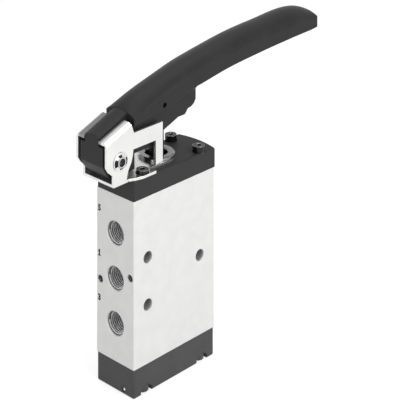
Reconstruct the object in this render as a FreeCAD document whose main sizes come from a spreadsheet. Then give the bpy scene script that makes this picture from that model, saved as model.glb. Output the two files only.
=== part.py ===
import FreeCAD, Part
import Sketcher
import math
import os

# Hand lever air valve, 5/2-way, with a spring-returned spool.
# Frame: +X runs from the face with three ports to the face with two ports and along the lever,
# +Y across the narrow way, +Z up. Origin: centre of the bottom cover's underside, on the spool's axis.

Vector = FreeCAD.Vector
doc = FreeCAD.newDocument("HandLeverAirValve")
sheet = doc.addObject("Spreadsheet::Sheet", "Dims")

# Driving dimensions, in millimetres and degrees.
dimensions = [
    ("body_depth", 64.0, "aluminium block along X"),
    ("body_width", 30.0, "aluminium block along Y"),
    ("body_height", 92.0, "aluminium block along Z"),
    ("body_edge", 0.5, "rounding of the block's upright edges"),
    ("base_height", 16.0, "bottom cover"),
    ("cover_height", 11.0, "top cover"),
    ("cover_end", 33.1, "corners of the top cover under the lever, behind the axis"),
    ("cover_bulge", 2.2, "how far the cover's face between them bows out"),
    ("cover_top_round", 1.2, "rounding of the top cover's upper edge"),
    ("cover_corner_round", 1.0, "rounding of the top cover's upright corners"),
    ("base_corner_round", 1.2, "rounding of the bottom cover's upright corners"),
    ("base_foot_round", 1.0, "rounding of the bottom cover's lower short edges"),
    ("bore_radius", 9.0, "bore for the spool's cages"),
    ("seal_seat_radius", 10.6, "counterbore for the cover seals"),
    ("bore_slip", 0.05, "radial play of what stands in the bore or the counterbores"),
    ("thread_slip", 0.02, "radial play of the collar's thread and of the bush in the collar"),
    ("end_chamfer", 0.4, "chamfer at the ends of the spool and the push rod"),
    ("seal_wire", 0.8, "radius of the cover seals' cord"),
    ("port_thread_radius", 6.58, "G1/4 thread, outer diameter 13.157"),
    ("port_thread_depth", 12.0, "depth of the threaded part"),
    ("port_passage_radius", 4.3, "passage from the thread to the bore"),
    ("port_chamfer", 0.5, "chamfer at the mouth of a port"),
    ("port_middle", 45.4, "height of the supply port above the block's lower face"),
    ("port_pitch", 25.0, "distance between ports on one face"),
    ("mount_hole_radius", 3.3, "clearance holes for M6 through the block"),
    ("mount_hole_front", 21.3, "two of them, this far before the axis"),
    ("mount_hole_rear", 20.0, "one of them, this far behind the axis"),
    ("mount_hole_rise", 13.05, "the front two stand this far above and below the supply port"),
    ("tap_radius", 2.1, "M5 tapping drill beside the supply port"),
    ("tap_depth", 8.0, "depth of those two holes"),
    ("tap_side", 12.0, "their distance from the middle plane"),
    ("tap_rise", 4.1, "their height above or below the supply port"),
    ("cover_screw_x", 22.0, "cover screws, distance from the axis along X"),
    ("cover_screw_rear", 23.0, "the same for the top cover's rear pair"),
    ("cover_screw_sink", 0.5, "top screws' heads stand this deep in the top cover"),
    ("head_clearance", 0.25, "round the screw heads in the covers"),
    ("plate_screw_hole", 3.9, "holes in the bracket's plate round the screw heads"),
    ("cover_screw_y", 11.3, "cover screws, distance from the axis along Y"),
    ("cover_screw_radius", 1.95, "M4 shank"),
    ("cover_screw_hole", 2.0, "M4 thread in the block"),
    ("cover_screw_depth", 14.0, "depth of the threaded holes in the block"),
    ("cover_screw_clearance", 2.25, "clearance hole in a cover"),
    ("screw_head_radius", 3.5, "cap head"),
    ("screw_head_height", 4.0, "cap head"),
    ("hex_across", 3.0, "socket across flats"),
    ("hex_depth", 2.2, "socket depth"),
    ("base_inset", 0.15, "the covers' sides stand in from the block's sides"),
    ("notch_half", 4.4, "half length of the screw notches in the bottom cover"),
    ("notch_height", 3.6, "height of those notches"),
    ("notch_corner", 1.6, "chamfer of the notches' upper corners"),
    ("base_screw_lift", 0.8, "bottom screws' heads above the base"),
    ("vent_radius", 1.4, "breather hole in the bottom cover"),
    ("vent_depth", 5.0, "depth of its wide mouth"),
    ("vent_side", 6.7, "breather hole, distance from the middle plane"),
    ("vent_rise", 2.6, "breather hole above the base"),
    ("vent_passage", 0.8, "radius of the passage from there to the spring's room"),
    ("vent_passage_side", 6.2, "that passage, distance from the middle plane"),
    ("vent_passage_rise", 3.0, "that passage above the base"),
    ("vent_passage_end", 3.0, "where that passage ends before the axis"),
    ("spring_room", 8.0, "radius of the spring's room in the bottom cover"),
    ("spigot_radius", 8.9, "spigots of both covers in the bore"),
    ("spigot_length", 8.4, "spigot of the bottom cover"),
    ("top_spigot_length", 4.0, "spigot of the top cover"),
    ("plunger_hole", 5.0, "hole for the plunger through the top cover"),
    ("spool_radius", 4.5, "sealing diameter of the spool"),
    ("waist_slope", 1.6, "length of the slope between a land and a waist"),
    ("waist_radius", 2.7, "spool between its lands"),
    ("spool_clearance", 0.05, "running clearance of the spool in its seals"),
    ("cage_bore", 5.0, "cages round the spool"),
    ("cage_waist", 7.2, "outside of a cage between its flanges"),
    ("cage_flange", 1.6, "flange of a cage"),
    ("cage_window", 1.6, "radius of the cross holes in a cage"),
    ("cage_slope", 0.8, "length of the slope from a flange to the waist of a cage"),
    ("seal_half", 1.0, "half thickness of a spool seal"),
    ("spring_radius", 6.2, "return spring, mean radius"),
    ("spring_wire", 0.65, "return spring, wire radius"),
    ("spring_turns", 5.0, "return spring, turns"),
    ("spring_gap", 0.05, "between the return spring and what it rests on"),
    ("spring_floor", 2.4, "lower end of the return spring above the base"),
    ("spring_seat_radius", 7.5, "cup between spring and spool"),
    ("spring_seat_plate", 1.5, "thickness of the cup's plate"),
    ("spring_pilot", 2.5, "cup's pilot in the spring"),
    ("spring_pilot_radius", 4.8, "that pilot at the plate"),
    ("spring_pilot_tip", 4.2, "radius of its lower end"),
    ("spring_seat_rise", 6.6, "cup's lower face above the block's lower face at rest"),
    ("plunger_radius", 4.3, "push rod under the lever"),
    ("plunger_rise", 21.2, "top of the push rod above the top cover at rest"),
    ("plunger_dome", 6.3, "radius of its domed end"),
    ("collar_radius", 10.65, "collar's flange"),
    ("collar_top", 3.5, "collar's top above the top cover"),
    ("collar_bore", 6.5, "collar's inner radius"),
    ("collar_depth", 8.0, "collar's barrel in the top cover"),
    ("guide_top", 3.4, "guide bush ends this far under the cover's top"),
    ("plate", 1.5, "thickness of the bracket's sheet"),
    ("plate_overhang", 0.3, "bracket plate past the cover's sides"),
    ("plate_rear", 15.0, "rear edge of the plate's wide part before the axis"),
    ("plate_front", 33.0, "front edge of the plate's wide part before the axis"),
    ("plate_corner", 5.0, "corner rounding of the plate"),
    ("eye_start", 1.2, "start of the rounded end of the plate's eye, behind the axis"),
    ("eye_half", 10.2, "half width of the plate round the collar, and how far its end reaches"),
    ("tongue_front", 44.6, "front edge of the bracket's tongue before the axis"),
    ("ear_outer", 12.4, "outer faces of the ears from the middle plane"),
    ("lip_inner", 5.8, "inner edges of the lips from the middle plane"),
    ("lip_front", 49.7, "front ends of the ears and their lips before the axis"),
    ("lip_front_rise", 25.2, "upper face of a lip at that end, above the top cover"),
    ("lip_rear", 31.6, "rear ends of the lips before the axis"),
    ("lip_rear_rise", 31.8, "upper face of a lip at that end, above the top cover"),
    ("ear_shoulder", 25.7, "upper edge of an ear behind its lip, above the top cover"),
    ("fold_round", 2.4, "outside rounding of the fold between ear and lip"),
    ("pivot_x", 39.6, "lever's pivot before the axis"),
    ("pivot_rise", 12.8, "lever's pivot above the top cover"),
    ("pin_radius", 3.0, "pivot pin"),
    ("pin_overhang", 1.6, "pin past the ears' outer faces"),
    ("pin_recess_radius", 2.2, "hollow in each end of the pin"),
    ("pin_recess_depth", 3.5, "hollow in each end of the pin"),
    ("clip_radius", 4.4, "retaining clip on the pin"),
    ("clip_slot_half", 0.6, "half width of the clip's slots"),
    ("clip_rim", 0.6, "clip's rim outside the slots"),
    ("clip_thickness", 0.8, "retaining clip on the pin"),
    ("hub_half", 9.0, "half width of the lever's hub and skirt"),
    ("pin_clearance", 0.08, "running clearance of the hub on its pin"),
    ("lever_half", 11.3, "half width of the handle"),
    ("wing_inset", 0.05, "the wings' sides stand in from the handle's"),
    ("lever_end", 130.5, "end of the handle behind the axis"),
    ("lever_wall", 2.2, "wall of the moulded lever"),
    ("nose_gap", 0.4, "between the lever's nose and the lips"),
    ("rib_rise", 47.0, "lower edges of the cross ribs in the handle above the top cover"),
    ("rib_thickness", 1.6, "cross ribs in the handle"),
    ("rib_overlap", 0.4, "how far the ribs reach into the handle's wall"),
    ("lock_hole_radius", 1.5, "cross hole through the skirt"),
    ("lock_hole_x", 4.3, "cross hole before the axis"),
    ("lock_hole_rise", 33.6, "cross hole above the top cover"),
    ("pad_rise", 21.5, "pressing pad inside the lever above the top cover"),
]
for row, (alias, amount, note) in enumerate(dimensions, start=1):
    sheet.set(f"A{row}", note)
    sheet.set(f"B{row}", str(amount))
    sheet.setAlias(f"B{row}", alias)
doc.recompute()

block_low = "Dims.base_height"
block_top = "(Dims.base_height + Dims.body_height)"
deck = "(Dims.base_height + Dims.body_height + Dims.cover_height)"
supply = "(Dims.base_height + Dims.port_middle)"


def value(expression):
    return float(sheet.evalExpression(expression))


def new_body(name):
    body = doc.addObject("PartDesign::Body", name)
    body.Label = name
    body.Placement = FreeCAD.Placement()
    return body


def sketch_on(body, role, name, shift="0"):
    """Sketch on one of the body's origin planes, moved along the plane's normal."""
    sketch = body.newObject("Sketcher::SketchObject", f"{body.Name}_{name}")
    plane = next(item for item in body.Origin.OriginFeatures if item.Role == role)
    sketch.AttachmentSupport = [(plane, "")]
    sketch.MapMode = "FlatFace"
    sketch.setExpression("AttachmentOffset.Base.z", shift)
    return sketch


def bind_point(sketch, index, position, corner):
    """Fix one point of a sketch at two expressions."""
    for kind, axis, expression in (("DistanceX", -2, corner[0]), ("DistanceY", -1, corner[1])):
        amount = value(expression)
        if abs(amount) < 1e-9:
            sketch.addConstraint(Sketcher.Constraint("PointOnObject", index, position, axis))
            continue
        rule = sketch.addConstraint(Sketcher.Constraint(kind, -1, 1, index, position, amount))
        sketch.setExpression(f"Constraints[{rule}]", expression)


def outline(sketch, corners, arcs=None):
    """Closed outline through corners; arcs gives, per corner index, how far the next edge bows out."""
    arcs = arcs or {}
    points = [Vector(value(a), value(b), 0) for a, b in corners]
    first = sketch.GeometryCount
    count = len(points)
    for i, start in enumerate(points):
        stop = points[(i + 1) % count]
        if i not in arcs:
            sketch.addGeometry(Part.LineSegment(start, stop), False)
            continue
        chord = stop - start
        side = Vector(chord.y, -chord.x, 0).normalize()
        middle = (start + stop) * 0.5 + side * value(arcs[i])
        sketch.addGeometry(Part.Arc(start, middle, stop), False)
    ends = []
    for i in range(count):
        geometry = sketch.Geometry[first + i]
        forward = geometry.StartPoint.distanceToPoint(points[i]) < 1e-6
        ends.append((1, 2) if forward else (2, 1))
    for i in range(count):
        j = (i + 1) % count
        sketch.addConstraint(Sketcher.Constraint("Coincident", first + i, ends[i][1], first + j, ends[j][0]))
    for i, corner in enumerate(corners):
        bind_point(sketch, first + i, ends[i][0], corner)
    for i, bow in arcs.items():
        (ax, ay), (bx, by) = corners[i], corners[(i + 1) % count]
        chord_squared = f"((({ax}) - ({bx}))^2 + (({ay}) - ({by}))^2)"
        radius = f"({chord_squared} / 4 + ({bow})^2) / (2 * abs({bow}))"
        rule = sketch.addConstraint(Sketcher.Constraint("Radius", first + i, sketch.Geometry[first + i].Radius))
        sketch.setExpression(f"Constraints[{rule}]", radius)


def circles(sketch, centres, radius):
    for centre in centres:
        point = Vector(value(centre[0]), value(centre[1]), 0)
        index = sketch.addGeometry(Part.Circle(point, Vector(0, 0, 1), value(radius)), False)
        bind_point(sketch, index, 3, centre)
        rule = sketch.addConstraint(Sketcher.Constraint("Radius", index, value(radius)))
        sketch.setExpression(f"Constraints[{rule}]", radius)


def pad(body, sketch, length, symmetric=False, reverse=False):
    feature = body.newObject("PartDesign::Pad", sketch.Name + "_pad")
    feature.Profile = sketch
    feature.setExpression("Length", length)
    feature.Midplane = symmetric
    feature.Reversed = reverse
    doc.recompute()
    return feature


def pocket(body, sketch, length, symmetric=False, reverse=False):
    """Cut a sketch into the body, and make sure that it takes material away."""
    before = body.Shape.Volume
    feature = body.newObject("PartDesign::Pocket", sketch.Name + "_pocket")
    feature.Profile = sketch
    feature.setExpression("Length", length)
    feature.Midplane = symmetric
    feature.Reversed = reverse
    doc.recompute()
    if body.Shape.Volume > before - 1e-3:
        raise RuntimeError(f"{feature.Name} cuts nothing")
    return feature


def turn(body, sketch, cut=False):
    """Full revolution of a sketch about its vertical axis."""
    kind = "PartDesign::Groove" if cut else "PartDesign::Revolution"
    feature = body.newObject(kind, sketch.Name + "_turn")
    feature.Profile = sketch
    feature.ReferenceAxis = (sketch, ["V_Axis"])
    feature.Angle = 360.0
    doc.recompute()
    return feature


def edges_where(shape, test):
    return [f"Edge{i}" for i, edge in enumerate(shape.Edges, start=1) if test(edge)]


def round_edges(body, test, radius, chamfer=False):
    kind = "PartDesign::Chamfer" if chamfer else "PartDesign::Fillet"
    base = body.Tip
    names = edges_where(base.Shape, test)
    if not names:
        raise RuntimeError(f"{body.Name} has no edge to round")
    feature = body.newObject(kind, f"{body.Name}_edges")
    feature.Base = (base, names)
    feature.setExpression("Size" if chamfer else "Radius", radius)
    doc.recompute()
    return feature


def is_upright(edge):
    if not isinstance(edge.Curve, Part.Line):
        return False
    return abs(edge.tangentAt(edge.FirstParameter).z) > 0.999


def ring(name, profile):
    """Body turned about Z from a profile of (radius, height) corners."""
    body = new_body(name)
    sketch = sketch_on(body, "XZ_Plane", "profile")
    outline(sketch, profile)
    turn(body, sketch)
    return body


def screw_pair(x):
    return [(x, "Dims.cover_screw_y"), (x, "-Dims.cover_screw_y")]


base_screws = screw_pair("Dims.cover_screw_x") + screw_pair("-Dims.cover_screw_x")
top_screws = screw_pair("Dims.cover_screw_rear") + screw_pair("-Dims.cover_screw_x")


def eight_corners(x, y, reach):
    """Corners of a regular octagon round a point, its flat sides at the given reach."""
    far, near = f"({reach})", f"({reach}) * (sqrt(2) - 1)"
    turns = [(far, near, "", ""), (near, far, "", ""), (near, far, "-", ""), (far, near, "-", ""),
             (far, near, "-", "-"), (near, far, "-", "-"), (near, far, "", "-"), (far, near, "", "-")]
    return [(f"{x} + ({p}{a})", f"{y} + ({q}{b})") for a, b, p, q in turns]


def make_valve_body():
    body = new_body("valve_body")
    half_x = "Dims.body_depth / 2"
    half_y = "Dims.body_width / 2"
    plan = sketch_on(body, "XY_Plane", "plan", block_low)
    outline(plan, [(f"-{half_x}", f"-{half_y}"), (half_x, f"-{half_y}"), (half_x, half_y), (f"-{half_x}", half_y)])
    pad(body, plan, "Dims.body_height")
    round_edges(body, is_upright, "Dims.body_edge")
    bore = sketch_on(body, "XY_Plane", "bore", block_low)
    circles(bore, [("0", "0")], "Dims.bore_radius")
    pocket(body, bore, "Dims.body_height", reverse=True)
    for name, level, reverse, spots in (("low", block_low, True, base_screws), ("top", block_top, False, top_screws)):
        seat = sketch_on(body, "XY_Plane", f"seal_seat_{name}", level)
        circles(seat, [("0", "0")], "Dims.seal_seat_radius")
        pocket(body, seat, "2 * Dims.seal_wire", reverse=reverse)
        threads = sketch_on(body, "XY_Plane", f"screw_holes_{name}", level)
        circles(threads, spots, "Dims.cover_screw_hole")
        pocket(body, threads, "Dims.cover_screw_depth", reverse=reverse)
    front_ports = [("0", f"{supply} + {k} * Dims.port_pitch") for k in (-1, 0, 1)]
    rear_ports = [("0", f"{supply} + {k} * Dims.port_pitch / 2") for k in (-1, 1)]
    passage_length = "Dims.body_depth / 2 - Dims.bore_radius + 4"
    for name, spots, level, reverse in (("front", front_ports, f"-{half_x}", True), ("rear", rear_ports, half_x, False)):
        thread = sketch_on(body, "YZ_Plane", f"threads_{name}", level)
        circles(thread, spots, "Dims.port_thread_radius")
        pocket(body, thread, "Dims.port_thread_depth", reverse=reverse)
        passage = sketch_on(body, "YZ_Plane", f"passages_{name}", level)
        circles(passage, spots, "Dims.port_passage_radius")
        pocket(body, passage, passage_length, reverse=reverse)
    taps = sketch_on(body, "YZ_Plane", "taps", f"-{half_x}")
    tap_spots = [("-Dims.tap_side", f"{supply} + Dims.tap_rise"), ("Dims.tap_side", f"{supply} - Dims.tap_rise")]
    circles(taps, tap_spots, "Dims.tap_radius")
    pocket(body, taps, "Dims.tap_depth", reverse=True)
    mounting = sketch_on(body, "XZ_Plane", "mounting_holes")
    mounting_spots = [("-Dims.mount_hole_front", f"{supply} + Dims.mount_hole_rise"),
                      ("-Dims.mount_hole_front", f"{supply} - Dims.mount_hole_rise"),
                      ("Dims.mount_hole_rear", supply)]
    circles(mounting, mounting_spots, "Dims.mount_hole_radius")
    pocket(body, mounting, "2 * Dims.body_width", symmetric=True)
    port_radius = value("Dims.port_thread_radius")
    face_x = value(half_x)

    def is_port_mouth(edge):
        if not isinstance(edge.Curve, Part.Circle):
            return False
        return abs(edge.Curve.Radius - port_radius) < 1e-6 and abs(abs(edge.Curve.Center.x) - face_x) < 1e-6

    round_edges(body, is_port_mouth, "Dims.port_chamfer", chamfer=True)
    return body


def make_top_cover():
    body = new_body("top_cover")
    half_x = "(Dims.body_depth / 2 - Dims.base_inset)"
    half_y = "(Dims.body_width / 2 - Dims.base_inset)"
    plan = sketch_on(body, "XY_Plane", "plan", block_top)
    outline(plan,
            [(f"-{half_x}", f"-{half_y}"), ("Dims.cover_end", f"-{half_y}"), ("Dims.cover_end", half_y),
             (f"-{half_x}", half_y)],
            arcs={1: "Dims.cover_bulge"})
    pad(body, plan, "Dims.cover_height")
    round_edges(body, is_upright, "Dims.cover_corner_round")
    top = value(deck)

    def on_top_rim(edge):
        return abs(edge.BoundBox.ZMin - top) < 1e-6 and edge.BoundBox.ZLength < 1e-6

    round_edges(body, on_top_rim, "Dims.cover_top_round")
    spigot = sketch_on(body, "XY_Plane", "spigot", block_top)
    circles(spigot, [("0", "0")], "Dims.spigot_radius")
    pad(body, spigot, "Dims.top_spigot_length", reverse=True)
    rod_hole = sketch_on(body, "XY_Plane", "plunger_hole", deck)
    circles(rod_hole, [("0", "0")], "Dims.plunger_hole")
    pocket(body, rod_hole, "Dims.cover_height + Dims.top_spigot_length")
    seat = sketch_on(body, "XY_Plane", "collar_seat", deck)
    circles(seat, [("0", "0")], "Dims.bore_radius + Dims.thread_slip")
    pocket(body, seat, "Dims.collar_depth")
    holes = sketch_on(body, "XY_Plane", "screw_holes", deck)
    circles(holes, top_screws, "Dims.cover_screw_clearance")
    pocket(body, holes, "Dims.cover_height")
    sinks = sketch_on(body, "XY_Plane", "screw_sinks", deck)
    circles(sinks, top_screws, "Dims.screw_head_radius + Dims.head_clearance")
    pocket(body, sinks, "Dims.cover_screw_sink")
    return body


def make_bottom_cover():
    body = new_body("bottom_cover")
    half_x = "(Dims.body_depth / 2 - Dims.base_inset)"
    half_y = "(Dims.body_width / 2 - Dims.base_inset)"
    plan = sketch_on(body, "XY_Plane", "plan")
    outline(plan, [(f"-{half_x}", f"-{half_y}"), (half_x, f"-{half_y}"), (half_x, half_y), (f"-{half_x}", half_y)])
    pad(body, plan, "Dims.base_height")
    round_edges(body, is_upright, "Dims.base_corner_round")
    face_x = value(half_x)

    def is_foot(edge):
        box = edge.BoundBox
        return box.ZMax < 1e-6 and box.XLength < 1e-6 and abs(abs(box.XMax) - face_x) < 1e-6

    round_edges(body, is_foot, "Dims.base_foot_round")
    spigot = sketch_on(body, "XY_Plane", "spigot", block_low)
    circles(spigot, [("0", "0")], "Dims.spigot_radius")
    pad(body, spigot, "Dims.spigot_length")
    room = sketch_on(body, "XY_Plane", "spring_room", f"{block_low} + Dims.spigot_length")
    circles(room, [("0", "0")], "Dims.spring_room")
    pocket(body, room, "Dims.base_height + Dims.spigot_length - Dims.spring_floor")
    holes = sketch_on(body, "XY_Plane", "screw_holes", block_low)
    circles(holes, base_screws, "Dims.cover_screw_clearance")
    pocket(body, holes, "Dims.base_height")
    head_room = "(Dims.base_screw_lift + Dims.screw_head_height)"
    heads = sketch_on(body, "XY_Plane", "head_rooms")
    circles(heads, base_screws, "Dims.screw_head_radius + Dims.head_clearance")
    pocket(body, heads, head_room, reverse=True)
    for side in ("", "-"):
        notch = sketch_on(body, "XZ_Plane", f"notches_{'near' if side else 'far'}", f"{side}(Dims.body_width / 2)")
        for end in ("", "-"):
            middle = f"{end}Dims.cover_screw_x"
            outline(notch, [(f"{middle} - Dims.notch_half", "-1"), (f"{middle} + Dims.notch_half", "-1"),
                            (f"{middle} + Dims.notch_half", "Dims.notch_height - Dims.notch_corner"),
                            (f"{middle} + Dims.notch_half - Dims.notch_corner", "Dims.notch_height"),
                            (f"{middle} - Dims.notch_half + Dims.notch_corner", "Dims.notch_height"),
                            (f"{middle} - Dims.notch_half", "Dims.notch_height - Dims.notch_corner")])
        pocket(body, notch, "Dims.body_width / 2 - Dims.cover_screw_y", reverse=bool(side))
    vent = sketch_on(body, "YZ_Plane", "vent", "-Dims.body_depth / 2")
    circles(vent, [("-Dims.vent_side", "Dims.vent_rise")], "Dims.vent_radius")
    pocket(body, vent, "Dims.vent_depth", reverse=True)
    passage = sketch_on(body, "YZ_Plane", "vent_passage", "-Dims.body_depth / 2")
    circles(passage, [("-Dims.vent_passage_side", "Dims.vent_passage_rise")], "Dims.vent_passage")
    pocket(body, passage, "Dims.body_depth / 2 - Dims.vent_passage_end", reverse=True)
    return body


def make_cover_seal(name, level, sign):
    """Cord ring, squeezed flat on its sides, in the counterbore at one end of the block's bore."""
    radius = "(Dims.seal_seat_radius - Dims.seal_wire - Dims.bore_slip)"
    middle = f"({level} {sign} Dims.seal_wire)"
    return ring(name, eight_corners(radius, middle, "Dims.seal_wire"))


def seal_height(number):
    """Height of a spool seal, midway between neighbouring ports; number 0 is the lowest."""
    return f"({supply} + ({number} - 2.5) * Dims.port_pitch / 2)"


def make_spool_seal(number):
    middle = seal_height(number)
    inner = "(Dims.spool_radius + Dims.spool_clearance)"
    outer = "(Dims.bore_radius - Dims.bore_slip)"
    low, high = f"{middle} - Dims.seal_half", f"{middle} + Dims.seal_half"
    return ring(f"spool_seal_{number + 1}",
                [(f"{inner} + 0.5", low), (outer, low), (outer, high), (f"{inner} + 0.5", high),
                 (inner, f"{middle} + 0.4"), (inner, f"{middle} - 0.4")])


def make_spool_cage(number):
    """Spacer between two spool seals: flanged ends, a waist and four cross holes for the air."""
    low = f"({seal_height(number)} + Dims.seal_half)"
    high = f"({seal_height(number + 1)} - Dims.seal_half)"
    outer = "Dims.bore_radius - Dims.bore_slip"
    body = ring(f"spool_cage_{number + 1}",
                [("Dims.cage_bore", low), (outer, low), (outer, f"{low} + Dims.cage_flange"),
                 ("Dims.cage_waist", f"{low} + Dims.cage_flange + Dims.cage_slope"),
                 ("Dims.cage_waist", f"{high} - Dims.cage_flange - Dims.cage_slope"),
                 (outer, f"{high} - Dims.cage_flange"), (outer, high), ("Dims.cage_bore", high)])
    for role in ("XZ_Plane", "YZ_Plane"):
        windows = sketch_on(body, role, f"windows_{role[:2].lower()}")
        circles(windows, [("0", f"({low} + {high}) / 2")], "Dims.cage_window")
        pocket(body, windows, "2 * Dims.bore_radius", symmetric=True)
    return body


def make_end_ring(name, low, high):
    """Plain spacer that clamps the stack of seals at one end."""
    outer = "Dims.bore_radius - Dims.bore_slip"
    return ring(name, [("Dims.cage_bore", low), (outer, low), (outer, high), ("Dims.cage_bore", high)])


# Ends of the spool's two waists above the block's lower face, at rest.
spool_waists = [(28.7, 42.7), (53.7, 67.7)]


def make_spool():
    """Turned spool: three lands at rest close seals, two waists open them."""
    land, waist = "Dims.spool_radius", "Dims.waist_radius"
    foot = f"{block_low} + Dims.spring_seat_rise + Dims.spring_seat_plate"
    head = f"{block_top} - Dims.top_spigot_length"
    profile = [("0", foot), (land, foot)]
    for low, high in spool_waists:
        profile += [(land, f"{block_low} + {low}"), (waist, f"{block_low} + {low} + Dims.waist_slope"),
                    (waist, f"{block_low} + {high} - Dims.waist_slope"), (land, f"{block_low} + {high}")]
    profile += [(land, f"{head} - Dims.end_chamfer"), (f"{land} - Dims.end_chamfer", head), ("0", head)]
    return ring("spool", profile)


def make_spring_seat():
    """Cup that carries the spring's thrust to the spool's foot."""
    low = f"{block_low} + Dims.spring_seat_rise"
    return ring("spring_seat",
                [("0", f"{low} - Dims.spring_pilot"), ("Dims.spring_pilot_tip", f"{low} - Dims.spring_pilot"),
                 ("Dims.spring_pilot_radius", low), ("Dims.spring_seat_radius", low),
                 ("Dims.spring_seat_radius", f"{low} + Dims.spring_seat_plate"),
                 ("0", f"{low} + Dims.spring_seat_plate")])


def make_return_spring():
    """Compression spring between the bottom cover's floor and the spring seat."""
    body = new_body("return_spring")
    low = "(Dims.spring_floor + Dims.spring_wire + Dims.spring_gap)"
    high = f"({block_low} + Dims.spring_seat_rise - Dims.spring_wire - Dims.spring_gap)"
    wire = sketch_on(body, "XZ_Plane", "wire")
    outline(wire, eight_corners("Dims.spring_radius", low, "Dims.spring_wire"))
    coil = body.newObject("PartDesign::AdditiveHelix", "return_spring_coil")
    coil.Profile = wire
    coil.ReferenceAxis = (wire, ["V_Axis"])
    coil.Mode = 2
    coil.setExpression("Height", f"{high} - {low}")
    coil.setExpression("Turns", "Dims.spring_turns")
    doc.recompute()
    return body


def make_plunger():
    """Push rod from the spool's head to the lever, with a domed end."""
    low = f"({block_top} - Dims.top_spigot_length)"
    top = f"({deck} + Dims.plunger_rise)"
    shoulder = f"{top} - Dims.plunger_dome + sqrt(Dims.plunger_dome^2 - Dims.plunger_radius^2)"
    body = new_body("plunger")
    sketch = sketch_on(body, "XZ_Plane", "profile")
    chord = f"sqrt(Dims.plunger_radius^2 + ({top} - ({shoulder}))^2)"
    bow = f"Dims.plunger_dome - sqrt(Dims.plunger_dome^2 - ({chord})^2 / 4)"
    outline(sketch,
            [("0", low), ("Dims.plunger_radius - Dims.end_chamfer", low),
             ("Dims.plunger_radius", f"{low} + Dims.end_chamfer"),
             ("Dims.plunger_radius", shoulder), ("0", top)],
            arcs={3: bow})
    turn(body, sketch)
    return body


def make_plunger_guide():
    inner = "Dims.plunger_radius + Dims.spool_clearance"
    low, high = f"{deck} - Dims.collar_depth", f"{deck} - Dims.guide_top"
    outer = "Dims.collar_bore - Dims.thread_slip"
    return ring("plunger_guide", [(inner, low), (outer, low), (outer, high), (inner, high)])


def make_plunger_wiper():
    """Dust wiper with a raised lip round the push rod."""
    inner = "Dims.plunger_radius + Dims.spool_clearance"
    low, outer = f"{deck} - Dims.guide_top", "Dims.collar_bore - Dims.thread_slip"
    return ring("plunger_wiper",
                [(f"{inner} + 0.6", low), (outer, low), (outer, f"{deck} - 0.6"), (f"{inner} + 1.1", f"{deck} - 0.6"),
                 (f"{inner} + 0.5", f"{deck} + 0.8"), (inner, f"{deck} + 0.8"), (inner, f"{deck} - 0.2")])


def make_collar():
    """Threaded collar that clamps the bracket's eye on the top cover."""
    barrel, flange = "Dims.bore_radius - Dims.thread_slip", "Dims.collar_radius"
    low, high = f"{deck} - Dims.collar_depth", f"{deck} + Dims.collar_top"
    seat = f"{deck} + Dims.plate"
    return ring("collar",
                [("Dims.collar_bore", low), (barrel, low), (barrel, seat), (flange, seat),
                 (flange, f"{high} - 0.7"), (f"{flange} - 0.7", high),
                 ("Dims.collar_bore + 0.6", high), ("Dims.collar_bore", f"{high} - 0.6")])


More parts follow.
